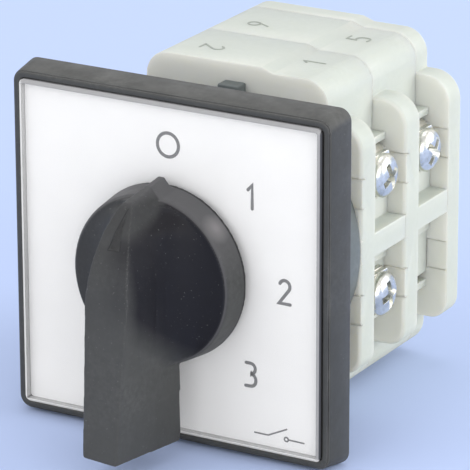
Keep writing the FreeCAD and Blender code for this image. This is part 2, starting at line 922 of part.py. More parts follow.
def main():
    os.makedirs("parts", exist_ok=True)
    save("bezel", [front_plate()])
    save("clear_cover", [clear_cover()])
    save("label_plate", [label_plate()])
    save("panel_gasket", [panel_gasket()])
    save("fixing_screws", [fixing_screw(x, z) for x, z in four_corners(fixing_spacing)])
    save("detent_housing", [detent_housing()])
    save("star_wheel", [star_wheel()])
    save("stop_disc", [stop_disc()])
    save("front_bush", [front_bush()])
    right_leaf, left_leaf = both_sides(detent_leaf())
    save("detent_leaf_right", [right_leaf])
    save("detent_leaf_left", [left_leaf])
    save("switch_shaft", [switch_shaft()])
    for index in range(stage_count):
        save(f"stage_housing_{index + 1}", [stage_housing(index)])
        save(f"cam_{index + 1}", [cam(index)])
    save("rear_cover", [rear_cover()])
    save("tie_screws", [tie_screw(x) for x in (-tie_spacing / 2, tie_spacing / 2)])
    screws, clamps = [], []
    for index, side in contacts:
        tag = f"{index + 1}_{side}"
        save(f"plunger_{tag}", [place(plunger(index), side)])
        save(f"contact_bridge_{tag}", [place(bridge(index), side)])
        save(f"contact_spring_{tag}", [place(contact_spring(index), side)])
        strip = place(terminal_strip(index), side)
        right, left = (strip, mirror_x(strip)) if side == "upper" else (mirror_x(strip), strip)
        save(f"terminal_strip_{tag}_right", [right])
        save(f"terminal_strip_{tag}_left", [left])
        screws.extend(both_sides(place(terminal_screw(index), side)))
        clamps.extend(both_sides(place(clamp_washer(index), side)))
    save("terminal_screws", screws)
    save("clamp_washers", clamps)
    save("handle", [handle()])
    save("pointer_insert", [pointer_insert()])
    save("handle_set_screw", [handle_set_screw()])
    save("shaft_seal", [shaft_seal()])


main()
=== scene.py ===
import json
import math

import bmesh
import bpy
from mathutils import Matrix, Vector
from mathutils.bvhtree import BVHTree

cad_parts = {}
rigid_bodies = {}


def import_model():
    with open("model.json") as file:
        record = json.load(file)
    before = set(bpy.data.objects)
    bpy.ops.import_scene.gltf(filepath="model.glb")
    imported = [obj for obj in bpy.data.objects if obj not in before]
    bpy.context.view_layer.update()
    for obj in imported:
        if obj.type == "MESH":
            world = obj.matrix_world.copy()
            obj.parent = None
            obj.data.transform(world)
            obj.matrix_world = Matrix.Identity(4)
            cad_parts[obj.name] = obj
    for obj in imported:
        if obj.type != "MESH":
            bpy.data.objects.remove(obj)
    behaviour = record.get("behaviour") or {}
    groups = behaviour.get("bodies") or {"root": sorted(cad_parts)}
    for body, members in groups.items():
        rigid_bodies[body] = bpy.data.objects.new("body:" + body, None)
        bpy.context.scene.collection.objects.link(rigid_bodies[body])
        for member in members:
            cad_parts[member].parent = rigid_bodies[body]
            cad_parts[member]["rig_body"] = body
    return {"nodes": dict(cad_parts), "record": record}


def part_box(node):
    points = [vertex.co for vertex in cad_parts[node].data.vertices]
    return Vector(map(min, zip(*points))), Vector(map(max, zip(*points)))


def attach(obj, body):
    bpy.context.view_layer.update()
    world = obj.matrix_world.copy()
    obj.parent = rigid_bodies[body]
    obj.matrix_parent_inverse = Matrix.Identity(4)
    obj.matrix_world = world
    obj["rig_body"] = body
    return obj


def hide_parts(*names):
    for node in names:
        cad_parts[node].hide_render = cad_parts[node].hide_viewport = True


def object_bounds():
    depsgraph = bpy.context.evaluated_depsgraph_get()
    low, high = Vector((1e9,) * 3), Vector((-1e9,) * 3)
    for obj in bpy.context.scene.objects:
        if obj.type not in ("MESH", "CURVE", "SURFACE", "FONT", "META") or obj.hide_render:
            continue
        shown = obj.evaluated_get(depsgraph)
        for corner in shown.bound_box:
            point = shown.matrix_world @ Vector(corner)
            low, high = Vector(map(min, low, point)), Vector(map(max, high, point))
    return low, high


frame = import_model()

MM = 0.001
cad_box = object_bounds()
nodes = frame["nodes"]
body_of_node = {n: o["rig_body"] for n, o in nodes.items()}
slot_of_node = {row["node"]: row["material_slot"] for row in frame["record"]["subparts"]}


# Camera, at the photograph's viewing angle

camera_place = Vector((328.487, -554.961, 229.197)) * MM
camera_right = Vector((0.867355, 0.497683, -0.002554))
camera_up = Vector((-0.161851, 0.286918, 0.944183))
camera_back = camera_right.cross(camera_up)

optics = bpy.data.cameras.new("camera")
optics.lens = 303.346
optics.clip_end = 20.0
camera = bpy.data.objects.new("camera", optics)
bpy.context.scene.collection.objects.link(camera)
camera_turn = Matrix((camera_right, camera_up, camera_back)).transposed().to_4x4()
camera.matrix_world = Matrix.Translation(camera_place) @ camera_turn
bpy.context.scene.camera = camera


# Node helpers


class Nodes:
    """A small wrapper to build a node tree in few lines."""

    def __init__(self, tree):
        self.tree = tree

    def add(self, kind, links=(), **values):
        node = self.tree.nodes.new(kind)
        for key, value in values.items():
            setattr(node, key, value)
        for socket, source in dict(links).items():
            self.set(node.inputs[socket], source)
        return node

    def set(self, socket, source):
        if isinstance(source, bpy.types.NodeSocket):
            self.tree.links.new(source, socket)
        else:
            socket.default_value = source

    def math(self, operation, a, b=0.0, clamp=False):
        node = self.add("ShaderNodeMath", {0: a, 1: b}, operation=operation, use_clamp=clamp)
        return node.outputs[0]

    def times(self, a, b):
        return self.math("MULTIPLY", a, b)

    def rest(self, a):
        """What is left of 1."""
        return self.math("SUBTRACT", 1.0, a)

    def noise(self, place, scale, detail=3.0, roughness=0.5, distortion=0.0):
        links = {"Vector": place, "Scale": scale, "Detail": detail, "Roughness": roughness}
        links["Distortion"] = distortion
        return self.add("ShaderNodeTexNoise", links).outputs["Fac"]

    def span(self, value, from_low, from_high, low, high):
        links = {"Value": value, "From Min": from_low, "From Max": from_high}
        links.update({"To Min": low, "To Max": high})
        return self.add("ShaderNodeMapRange", links).outputs["Result"]

    def rise(self, value, start, end, top=1.0):
        return self.span(value, start, end, 0.0, top)

    def fall(self, value, start, end, top=1.0):
        return self.span(value, start, end, top, 0.0)

    def spread(self, noise, low=0.0, high=1.0):
        """A noise's usual values, spread from low to high."""
        return self.span(noise, 0.3, 0.7, low, high)

    def blend(self, factor, a, b):
        node = self.add("ShaderNodeMix", data_type="RGBA", blend_type="MIX")
        self.set(node.inputs[0], factor)
        self.set(node.inputs[6], a)
        self.set(node.inputs[7], b)
        return node.outputs[2]

    def stretch(self, place, scale):
        return self.add("ShaderNodeMapping", {"Vector": place, "Scale": scale}).outputs[0]

    def vector(self, operation, links):
        return self.add("ShaderNodeVectorMath", links, operation=operation).outputs

    def split(self, vector):
        return self.add("ShaderNodeSeparateXYZ", {"Vector": vector}).outputs

    def in_mm(self, place):
        return self.split(self.vector("SCALE", {0: place, "Scale": 1000.0})[0])

    def facing(self):
        return self.split(self.add("ShaderNodeNewGeometry").outputs["Normal"])

    def bump(self, surface, strength, distance, height):
        links = {"Strength": strength, "Distance": distance, "Height": height}
        self.set(surface.inputs["Normal"], self.add("ShaderNodeBump", links).outputs[0])


def shade(colour, factor=1.0):
    return tuple(c * factor for c in colour[:3]) + (1.0,)


def new_material(name):
    """A new material, its nodes, the object's own coordinates, its shader and its output."""
    material = bpy.data.materials.new(name)
    material.use_nodes = True
    material.node_tree.nodes.clear()
    n = Nodes(material.node_tree)
    place = n.add("ShaderNodeTexCoord").outputs["Object"]
    surface = n.add("ShaderNodeBsdfPrincipled")
    output = n.add("ShaderNodeOutputMaterial")
    n.set(output.inputs["Surface"], surface.outputs[0])
    return material, n, place, surface, output


def edge_mask(n):
    """Near 1 on outer edges: where the rounded normal leaves the true one."""
    rounded = n.add("ShaderNodeBevel", {"Radius": 0.00035}, samples=6).outputs[0]
    flat = n.add("ShaderNodeNewGeometry").outputs["True Normal"]
    likeness = n.vector("DOT_PRODUCT", {0: rounded, 1: flat})["Value"]
    return n.rise(likeness, 0.99, 0.86)


def moulded(
    name, colour, roughness, grain_size, grain, mottle, edge=None, specks=0.0, tone=None, **sockets
):
    """A moulded plastic: cloudy colour, fine moulding grain, uneven gloss, and lighter edges,
    partly wear and partly painted highlight.
    """
    material, n, place, surface, _ = new_material(name)
    cloud = n.noise(place, 90.0, 4.0, 0.6)
    fine = n.noise(place, 0.35 / grain_size, 3.0, 0.6)
    base = n.blend(n.spread(cloud), shade(colour, 1 - mottle), shade(colour, 1 + mottle))
    base = n.blend(n.rise(fine, 0.35, 0.65), shade(colour, 1 - 0.7 * mottle), base)
    if tone:
        base = tone(n, place, base)
    if specks:
        dust = n.rise(n.noise(place, 2600.0, 1.0, 0.5), 0.72, 0.8, specks)
        base = n.blend(dust, base, shade(colour, 2.6))
    # Outer edges are painted lighter: partly wear, partly painted highlight where the edges catch
    # the light
    if edge:
        worn = n.times(edge_mask(n), n.span(cloud, 0.35, 0.6, 0.25, 1.0))
        base = n.blend(worn, base, shade(edge))
    n.set(surface.inputs["Base Color"], base)
    polish = n.noise(place, 420.0, 3.0)
    n.set(surface.inputs["Roughness"], n.spread(polish, roughness - 0.05, roughness + 0.06))
    n.bump(surface, grain, 0.1 * grain_size, fine)
    for key, value in sockets.items():
        surface.inputs[key.replace("_", " ")].default_value = value
    return material


def metal(name, colour, roughness, brushed=(1.0, 1.0, 1.0), stain=None):
    """A worked or plated metal: fine marks stretched one way, soft stains and uneven polish."""
    material, n, place, surface, _ = new_material(name)
    marks = n.noise(n.stretch(place, brushed), 1900.0, 3.0, 0.6)
    cloud = n.noise(place, 260.0, 3.0, 0.55, 0.4)
    base = n.blend(n.spread(marks), shade(colour, 0.86), shade(colour, 1.08))
    base = n.blend(n.rise(cloud, 0.48, 0.66, 0.6), base, stain or shade(colour, 0.7))
    n.set(surface.inputs["Base Color"], base)
    surface.inputs["Metallic"].default_value = 1.0
    n.set(surface.inputs["Roughness"], n.spread(cloud, roughness - 0.06, roughness + 0.1))
    n.bump(surface, 0.25, 0.00002, marks)
    return material


def clear(name, veil):
    """Clear plastic: a faint gloss over what lies behind, with light haze and fine scratches."""
    material, n, place, surface, output = new_material(name)
    haze = n.noise(place, 160.0, 4.0, 0.6)
    tint = n.blend(n.spread(haze), shade((0.86, 0.87, 0.88)), shade((0.92, 0.93, 0.94)))
    n.set(surface.inputs["Base Color"], tint)
    surface.inputs["IOR"].default_value = 1.49
    n.set(surface.inputs["Roughness"], n.span(haze, 0.35, 0.75, 0.05, 0.12))
    scratch = n.noise(n.stretch(place, (1.0, 1.0, 0.06)), 2200.0, 2.0)
    n.bump(surface, 0.015, 0.00001, scratch)
    through = n.add("ShaderNodeBsdfTransparent")
    links = {0: veil, 1: through.outputs[0], 2: surface.outputs[0]}
    n.set(output.inputs["Surface"], n.add("ShaderNodeMixShader", links).outputs[0])
    return material


def rim_plastic(name, size):
    """The cover's moulded edge, with light and shade painted on: pale on the lit bevels, grey on
    the far bevels and darker in its wall.
    """
    material, n, place, surface, _ = new_material(name)
    at = n.split(place)
    # Painted light and shade: the left and bottom bevels are pale as lit, the right and top bevels
    # grey, the wall darker grey, and a near-black painted shadow line runs along the right edge
    far = n.rise(n.math("ADD", at["X"], at["Z"]), -0.0004, 0.0004)
    cloud = n.noise(place, 300.0, 4.0, 0.6)
    out = n.math("MAXIMUM", n.math("ABSOLUTE", at["X"]), n.math("ABSOLUTE", at["Z"]))
    wall = n.times(n.fall(out, size - 0.00068, size - 0.00062), n.rest(far))
    foot = n.rise(at["X"], size - 0.00028, size - 0.0002)
    near_tone = n.blend(cloud, shade((0.80, 0.80, 0.80)), shade((0.92, 0.92, 0.92)))
    far_tone = n.blend(cloud, shade((0.30, 0.30, 0.31)), shade((0.40, 0.40, 0.41)))
    wall_tone = n.blend(cloud, shade((0.17, 0.17, 0.175)), shade((0.25, 0.25, 0.255)))
    base = n.blend(wall, n.blend(far, near_tone, far_tone), wall_tone)
    base = n.blend(foot, base, shade((0.045, 0.045, 0.047)))
    n.set(surface.inputs["Base Color"], base)
    n.set(surface.inputs["Roughness"], n.spread(cloud, 0.28, 0.4))
    n.bump(surface, 0.1, 0.00002, cloud)
    return material


def film(name, colour, roughness):
    """Printed film: almost even, with faint fibre clouds and a slight orange-peel surface."""
    material, n, place, surface, _ = new_material(name)
    cloud = n.noise(place, 140.0, 5.0, 0.65)
    peel = n.noise(place, 1400.0, 2.0)
    base = n.blend(n.spread(cloud), shade(colour, 0.975), shade(colour, 1.01))
    n.set(surface.inputs["Base Color"], base)
    n.set(surface.inputs["Roughness"], n.spread(cloud, roughness - 0.04, roughness + 0.06))
    n.bump(surface, 0.06, 0.00002, peel)
    return material


# Tones laid over a finish: painted light and shade, and the brown along the stages' joints. Their
# masks are in millimetres, the painted highlight spot's in metres

# Painted shade for the handle's scoops, the disc's right and its upper part
painted_shade_black = shade((0.0112, 0.0108, 0.0140))
# Painted light on the ring's upper part and the grip's tip
painted_light_grey = shade((0.140, 0.138, 0.145))
# Painted highlight along the disc's front rim
painted_edge_highlight = shade((0.150, 0.148, 0.155))
# Painted highlight spot on the ring, and its place
painted_spot_highlight = shade((0.30, 0.285, 0.29))
painted_spot_place = (0.0115, -0.0100, 0.0105)
# Painted shadow line at the ring's rear
painted_rear_shadow = shade((0.012, 0.012, 0.014))
bezel_rear_black = shade((0.012, 0.012, 0.012))
# Painted light on the stages' faces turned to the front
painted_front_light = shade((0.725, 0.725, 0.685))
joint_brown = shade((0.30, 0.25, 0.19))
tail_slope = -0.73


def handle_light_and_shade(n, place, base):
    """Painted shade darkens the handle's scoops, the disc's right and its upper part, while its
    crest and tail keep their grey; painted light greys the upper ring and tip, with painted
    highlights on the disc's front rim and ring and a painted shadow line at its rear.
    """
    at = n.in_mm(place)
    # Painted shade: the scoops beside the grip, the disc's right side and the handle's upper part
    # are darkened to stand in for shade
    behind_crest = n.rise(at["Y"], -28.5, -24.0)
    tail_line = n.times(n.math("ADD", at["Y"], 28.0), tail_slope)
    above_tail = n.rise(n.math("SUBTRACT", at["Z"], tail_line), -5.5, 0.5)
    squares = n.math("ADD", n.times(at["X"], at["X"]), n.times(at["Z"], at["Z"]))
    reach = n.math("SQRT", squares)
    on_disc = n.fall(reach, 14.95, 15.15)
    side = n.span(at["X"], -2.0, 2.0, 0.4, 1.0)
    dark = n.times(n.times(behind_crest, above_tail), n.times(on_disc, side))
    across_neck = n.fall(n.math("ABSOLUTE", at["X"]), 2.4, 3.8)
    neck = n.times(across_neck, n.rise(at["Z"], 9.0, 12.0, 0.7))
    dark = n.times(dark, n.rest(neck))
    dark = n.math("MAXIMUM", dark, n.rise(at["Z"], 3.0, 13.0, 0.42))
    base = n.blend(dark, base, painted_shade_black)
    # Painted light: the ring's upper part and the grip's tip are painted a lighter grey, as if lit
    # from above
    ring = n.times(n.rest(on_disc), n.rise(at["Y"], -13.4, -12.9))
    ring = n.times(ring, n.rise(at["Z"], 2.0, 9.0, 0.6))
    tip = n.times(n.rise(reach, 15.3, 17.8, 0.8), n.rise(at["Z"], 8.0, 12.0))
    base = n.blend(n.math("MAXIMUM", ring, tip), base, painted_light_grey)
    # Painted highlight: a thin lighter line along the disc's front rim
    front_edge = n.times(n.rise(reach, 14.75, 14.9), n.fall(reach, 15.0, 15.15))
    front_edge = n.times(front_edge, n.rise(at["Y"], -13.6, -13.3, 0.5))
    base = n.blend(front_edge, base, painted_edge_highlight)
    # Painted highlight: a soft light spot on the ring's upper right
    from_painted_spot = n.vector("DISTANCE", {0: place, 1: painted_spot_place})["Value"]
    base = n.blend(n.fall(from_painted_spot, 0.0004, 0.0030, 0.6), base, painted_spot_highlight)
    # Painted shadow: a thin black line along the ring's rear, where the disc meets the cover
    return n.blend(n.rise(at["Y"], -8.0, -7.75), base, painted_rear_shadow)


def topside(n, place, base):
    """The plate's faces turned up are painted lighter, in uneven patches, standing in for light
    from above; its front lip and flanks keep their black, and a thin strip at the top's rear is
    painted black.
    """
    # Painted light: faces turned up are made lighter, unevenly, as if lit from above
    top = n.rise(n.facing()["Z"], 0.3, 0.9)
    patchy = n.span(n.noise(place, 160.0, 4.0, 0.6), 0.35, 0.65, 1.15, 1.9)
    painted_top_light = n.vector("SCALE", {0: base, "Scale": patchy})[0]
    base = n.blend(top, base, painted_top_light)
    rear_edge = n.times(top, n.rise(n.in_mm(place)["Y"], 2.3, 2.8))
    return n.blend(rear_edge, base, bezel_rear_black)


stage_nodes = ("stage_housing_1", "stage_housing_2", "rear_cover")
stage_joints = [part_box(node)[0].y / MM for node in stage_nodes]


def front_light_and_joints(n, place, base):
    """Faces turned to the front are painted lighter and warmer, standing in for light on that
    side; the stages also yellow a little along their joints.
    """
    depth_facing = n.facing()["Y"]
    # Painted light: faces turned to the front are made lighter and warmer
    base = n.blend(n.fall(depth_facing, -0.95, -0.4, 0.8), base, painted_front_light)
    flank = n.fall(n.math("ABSOLUTE", depth_facing), 0.5, 0.8, 0.75)
    depth = n.in_mm(place)["Y"]
    worn = n.span(n.noise(place, 110.0, 3.0), 0.42, 0.55, 0.15, 1.0)
    for joint in stage_joints:
        gap = n.math("ABSOLUTE", n.math("SUBTRACT", depth, joint))
        seam = n.times(n.fall(gap, 0.08, 0.2), worn)
        base = n.blend(n.times(seam, flank), base, joint_brown)
    return base


finishes = {
    "handle_plastic": moulded(
        "handle_plastic_finish", (0.070, 0.072, 0.072), roughness=0.5,
        grain_size=0.00030, grain=0.55, mottle=0.16, edge=(0.13, 0.132, 0.132),
        specks=0.5, tone=handle_light_and_shade, Specular_IOR_Level=0.2,
    ),
    "pointer_plastic": moulded(
        "pointer_plastic_finish", (0.088, 0.089, 0.091), roughness=0.5,
        grain_size=0.00028, grain=0.4, mottle=0.12, Specular_IOR_Level=0.2,
    ),
    "bezel_plastic": moulded(
        "bezel_plastic_finish", (0.054, 0.055, 0.053), roughness=0.5,
        grain_size=0.00030, grain=0.6, mottle=0.20, edge=(0.14, 0.14, 0.14),
        specks=0.7, tone=topside, Specular_IOR_Level=0.4,
    ),
    "clear_plastic": clear("clear_plastic_finish", veil=0.07),
    "label_white": film("label_white_finish", (0.95, 0.95, 0.955), roughness=0.5),
    "gasket_rubber": moulded(
        "gasket_rubber_finish", (0.022, 0.022, 0.023), roughness=0.78,
        grain_size=0.00045, grain=0.7, mottle=0.15,
    ),
    "detent_plastic": moulded(
        "detent_plastic_finish", (0.13, 0.15, 0.15), roughness=0.5,
        grain_size=0.00035, grain=0.5, mottle=0.12, edge=(0.22, 0.24, 0.24),
    ),
    "stage_plastic": moulded(
        "stage_plastic_finish", (0.605, 0.645, 0.595), roughness=0.5,
        grain_size=0.00035, grain=0.35, mottle=0.03, edge=(0.86, 0.85, 0.79), tone=front_light_and_joints,
        Subsurface_Weight=0.6, Subsurface_Scale=0.003, Subsurface_Radius=(1.0, 0.95, 0.8),
    ),
    "inner_plastic": moulded(
        "inner_plastic_finish", (0.70, 0.68, 0.60), roughness=0.5,
        grain_size=0.0003, grain=0.4, mottle=0.05,
    ),
    "zinc_steel": metal(
        "zinc_steel_finish", (0.80, 0.79, 0.73), roughness=0.22, stain=(0.40, 0.42, 0.40, 1.0)
    ),
    "plain_steel": metal(
        "plain_steel_finish", (0.56, 0.56, 0.57), roughness=0.34, brushed=(1.0, 0.12, 1.0)
    ),
    "spring_steel": metal(
        "spring_steel_finish", (0.50, 0.51, 0.53), roughness=0.30, brushed=(0.2, 1.0, 0.2)
    ),
    "contact_brass": metal(
        "contact_brass_finish", (0.66, 0.64, 0.58), roughness=0.32, brushed=(1.0, 1.0, 0.15)
    ),
}
print_ink = film("print_ink_finish", (0.13, 0.13, 0.135), roughness=0.6)
mark_ink = film("mark_ink_finish", (0.36, 0.39, 0.35), roughness=0.55)
# Painted shade for the line round the pointer
painted_groove_shade = film("groove_shade_finish", (0.012, 0.012, 0.013), roughness=0.7)


def finish_of(node):
    return finishes[slot_of_node[node]]


for name, item in nodes.items():
    for socket in item.material_slots:
        socket.material = finish_of(name)


# Mesh helpers

merge_reach = 2e-6
flat_angle = math.radians(0.4)
sharp_angle = math.radians(40)


def add_piece(name, mesh, material, body, replaces=()):
    piece = bpy.data.objects.new(name, mesh)
    bpy.context.scene.collection.objects.link(piece)
    mesh.materials.clear()
    mesh.materials.append(material)
    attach(piece, body)
    if replaces:
        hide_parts(*replaces)
    return piece


def mesh_from(bm, name):
    mesh = bpy.data.meshes.new(name)
    bm.to_mesh(mesh)
    bm.free()
    return mesh


def closed_mesh_from(bm, name):
    bmesh.ops.recalc_face_normals(bm, faces=bm.faces)
    return mesh_from(bm, name)


def scratch_object(mesh, name):
    made = bpy.data.objects.new(name, mesh)
    bpy.context.scene.collection.objects.link(made)
    return made


def applied(item):
    """The item's mesh as its modifiers leave it."""
    bpy.context.view_layer.update()
    graph = bpy.context.evaluated_depsgraph_get()
    return bpy.data.meshes.new_from_object(item.evaluated_get(graph))


def merge_near(bm):
    bmesh.ops.remove_doubles(bm, verts=bm.verts, dist=merge_reach)


def round_edges(piece, width, segments, angle, clamped):
    bevel = piece.modifiers.new("round", "BEVEL")
    bevel.width = width
    bevel.segments = segments
    bevel.limit_method = "ANGLE"
    bevel.angle_limit = math.radians(angle)
    bevel.use_clamp_overlap = clamped
    bevel.harden_normals = segments > 1


def rounded_copy(node, width, segments=2, change=None):
    """The node's own shape with its edges rounded over, standing for the node."""
    mesh = nodes[node].data.copy()
    bm = bmesh.new()
    bm.from_mesh(mesh)
    merge_near(bm)
    bmesh.ops.dissolve_limit(
        bm, angle_limit=flat_angle, use_dissolve_boundaries=False,
        verts=bm.verts, edges=bm.edges, delimit={"NORMAL"},
    )
    if change:
        change(bm)
    bm.to_mesh(mesh)
    bm.free()
    if segments > 1:
        mesh.shade_smooth()
    else:
        mesh.shade_flat()
    name, slot = node + "_rounded", slot_of_node[node]
    piece = add_piece(name, mesh, finish_of(node), body_of_node[node], (node,))
    round_edges(piece, width, segments, 30.0, clamped=False)


# The plate with its clear cover and label

cover_low, cover_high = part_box("clear_cover")
cover_half = cover_high.x
cover_front = cover_low.y
cover_rear = cover_high.y
rim_width = 0.65 * MM
rim_bevel = 0.5 * MM
rim_corner = 1.0 * MM
rim_corner_least = 0.35 * MM
corner_steps = 7
print_room = 0.06 * MM
pane_gap = 0.01 * MM
rear_face_near = 1e-5
label_gap = 0.02 * MM
label_outline = 20 * MM


def inside_rim(bm):
    """Draws the cover's edge in to its rim, and its rear face off the label and its print."""
    reach = cover_half - rim_width - pane_gap
    for v in bm.verts:
        v.co.x = min(reach, max(-reach, v.co.x))
        v.co.z = min(reach, max(-reach, v.co.z))
        if v.co.y > cover_rear - rear_face_near:
            v.co.y -= print_room
    merge_near(bm)
    bmesh.ops.dissolve_degenerate(bm, dist=merge_reach, edges=bm.edges)


def up_to_rim(bm):
    """Spreads the label until it meets the cover's rim."""
    grow = (cover_half - rim_width - label_gap) / max(v.co.x for v in bm.verts)
    for v in bm.verts:
        if max(abs(v.co.x), abs(v.co.z)) > label_outline:
            v.co.x *= grow
            v.co.z *= grow


def cover_rim():
    """The bevelled edge of the cover, a closed frame around its pane."""
    bm = bmesh.new()
    section = (
        (0.0, cover_rear), (0.0, cover_front + rim_bevel), (rim_bevel, cover_front),
        (rim_width, cover_front), (rim_width, cover_rear),
    )
    rings = []
    for inset, y in section:
        half = cover_half - inset
        corner = max(rim_corner_least, rim_corner - inset)
        ring = []
        for sx, sz, first in ((1, 1, 0), (-1, 1, 90), (-1, -1, 180), (1, -1, 270)):
            for step in range(corner_steps):
                t = math.radians(first + 15 * step)
                x = sx * (half - corner) + corner * math.cos(t)
                z = sz * (half - corner) + corner * math.sin(t)
                ring.append(bm.verts.new((x, y, z)))
        rings.append(ring)
    for a, b in zip(rings, rings[1:] + rings[:1]):
        for i in range(len(a)):
            j = (i + 1) % len(a)
            bm.faces.new((a[i], a[j], b[j], b[i]))
    mesh = closed_mesh_from(bm, "cover_rim")
    finish = rim_plastic("cover_rim_finish", cover_half)
    add_piece("cover_rim", mesh, finish, "base", ("clear_cover",))


rounded_copy("bezel", 0.30 * MM)
rounded_copy("clear_cover", 0.05 * MM, segments=1, change=inside_rim)
cover_rim()
rounded_copy("label_plate", 0.03 * MM, segments=1, change=up_to_rim)


# The housings behind the plate, and their strips and washers

detent_rim = 22 * MM
detent_growth = 1.04
pocket_cut = 0.6
pocket_shown = 0.18
pocket_near = 0.05


def widened(bm):
    """The housing's rim is drawn out to stand level with the first fins."""
    for v in bm.verts:
        if math.hypot(v.co.x, v.co.z) > detent_rim:
            v.co.x *= detent_growth
            v.co.z *= detent_growth


def shallow_pockets(bm):
    """The pressed fields on the fins' fronts are only a hair deep."""
    for v in bm.verts:
        for joint in stage_joints:
            if abs(v.co.y / MM - joint - pocket_cut) < pocket_near:
                v.co.y = (joint + pocket_shown) * MM


rounded_copy("detent_housing", 0.30 * MM, change=widened)
for node in stage_nodes:
    rounded_copy(node, 0.22 * MM, change=shallow_pockets)
rounded_copy("clamp_washers", 0.12 * MM)
for node in sorted(nodes):
    if node.startswith("terminal_strip"):
        rounded_copy(node, 0.12 * MM)


# The handle is one soft moulding: its mesh is rebuilt fine and even, then its root and tail
# are eased. Its sizes are in millimetres

handle_cell = 0.24
slot_growth = 0.5
slot_rise = 0.25
disc_chord = 14.4
disc_rear = -7.6
disc_front = cover_front / MM - 6.0
grip_half = 5.0
scoop_rise = 3.2
tip_narrowing = 0.5
tail_left = 1.3
tail_back = 1.0
tail_wider = 0.4
tail_lower = 0.55
ray_start = -60.0


def fill_slot(bm):
    """Adds the pointer insert's shape, grown across and raised to the crest, to close its slot."""
    bm.from_mesh(nodes["pointer_insert"].data)
    merge_near(bm)
    bm.normal_update()
    low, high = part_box("pointer_insert")
    middle = (low + high) / 2
    grow_x = 1 + slot_growth * MM / (high.x - low.x)
    grow_z = 1 + slot_growth * MM / (high.z - low.z)
    for v in bm.verts:
        v.co.x = middle.x + (v.co.x - middle.x) * grow_x
        v.co.z = middle.z + (v.co.z - middle.z) * grow_z
        if v.normal.y < 0:
            v.co.y -= slot_rise * MM


def ramp(value, start, end):
    return min(1.0, max(0.0, (value - start) / (end - start)))


def even_handle():
    """The handle's mesh made anew in even cells, without its pointer's slot."""
    bm = bmesh.new()
    fill_slot(bm)
    bm.from_mesh(nodes["handle"].data)
    raw = scratch_object(mesh_from(bm, "raw"), "raw")
    raw.modifiers.new("weld", "WELD").merge_threshold = merge_reach
    even = raw.modifiers.new("even", "REMESH")
    even.mode = "VOXEL"
    even.voxel_size = handle_cell * MM
    shape = applied(raw)
    bpy.data.objects.remove(raw)
    return shape


def reshape_handle(shape):
    """Scoops the disc's front up to the grip, narrows the tip and slopes the tail's front."""
    for v in shape.vertices:
        x, y, z = (c / MM for c in v.co)
        edge = math.sqrt(max(0.0, disc_chord ** 2 - z ** 2))
        if edge > 6.5:
            share = ramp(abs(x), grip_half, edge)
            low = ramp(y, -24.0, -16.0) * ramp(y, -8.0, -11.0)
            v.co.y -= scoop_rise * MM * (1.0 - share) ** 2 * low * ramp(edge, 6.5, 9.5)
        tip = ramp(z, 15.2, 17.4) if y < disc_rear else 0.0
        v.co.x *= 1.0 - tip_narrowing * tip
        if y < -13.3 or z < -15.4:
            left = ramp(x, 3.0, -3.0) * ramp(z, 0.0, -28.0) * ramp(y, -14.0, -26.0)
            v.co.x -= tail_left * MM * left
            v.co.y += tail_back * MM * left
            rear = ramp(y, -28.0, -13.0)
            v.co.x += tail_wider * MM * ramp(x, 0.0, 3.0) * rear * ramp(z, -14.0, -28.0)
            v.co.z -= tail_lower * MM * rear * ramp(z, -20.0, -28.0)


def ease_handle(work):
    """Smooths the whole handle a little, the grip's root most and the tail's edges some."""
    everywhere = work.vertex_groups.new(name="everywhere")
    root = work.vertex_groups.new(name="root")
    tail = work.vertex_groups.new(name="tail")
    for v in work.data.vertices:
        x, y, z = (c / MM for c in v.co)
        out = math.hypot(x, z)
        everywhere.add([v.index], 1.0 if y < disc_rear else 0.0, "REPLACE")
        near = max(0.0, 1.0 - abs(y - disc_front + 1.8) / 5.0)
        weight = near * ramp(out, 14.2, 12.7) * ramp(abs(x), 2.0, 3.0)
        if weight > 0:
            root.add([v.index], min(1.0, 2.0 * weight), "REPLACE")
        low = ramp(z, -4.0, -18.0) * (1.0 if y < -20 else 0.0)
        if low > 0:
            tail.add([v.index], low, "REPLACE")
    for group, times in ((everywhere, 3), (root, 60), (tail, 12)):
        ease = work.modifiers.new(group.name, "SMOOTH")
        ease.factor = 0.5
        ease.iterations = times
        ease.vertex_group = group.name


def soft_handle():
    """Makes the handle's piece, and returns what finds a point a little above its front."""
    shape = even_handle()
    reshape_handle(shape)
    work = scratch_object(shape, "work")
    ease_handle(work)
    made = applied(work)
    bpy.data.objects.remove(work)
    add_piece("handle_soft", made, finish_of("handle"), "rotor", ("handle",))
    made.shade_smooth()
    made.set_sharp_from_angle(angle=sharp_angle)
    corners = [v.co for v in made.vertices]
    tree = BVHTree.FromPolygons(corners, [p.vertices for p in made.polygons])

    def on_crest(x, z, d):
        hit = tree.ray_cast(Vector((x, ray_start, z)) * MM, Vector((0.0, 1.0, 0.0)))[0]
        return hit - Vector((0.0, d * MM, 0.0))

    return on_crest


# The pointer's corners, as (x, z): the foot's left and right, and the apex
pointer_corners = ((-0.9, 8.95), (1.4, 8.95), (0.64, 15.19))
pointer_rows = 14
pointer_columns = 6
pointer_lift = 0.015
apex_share = 0.98


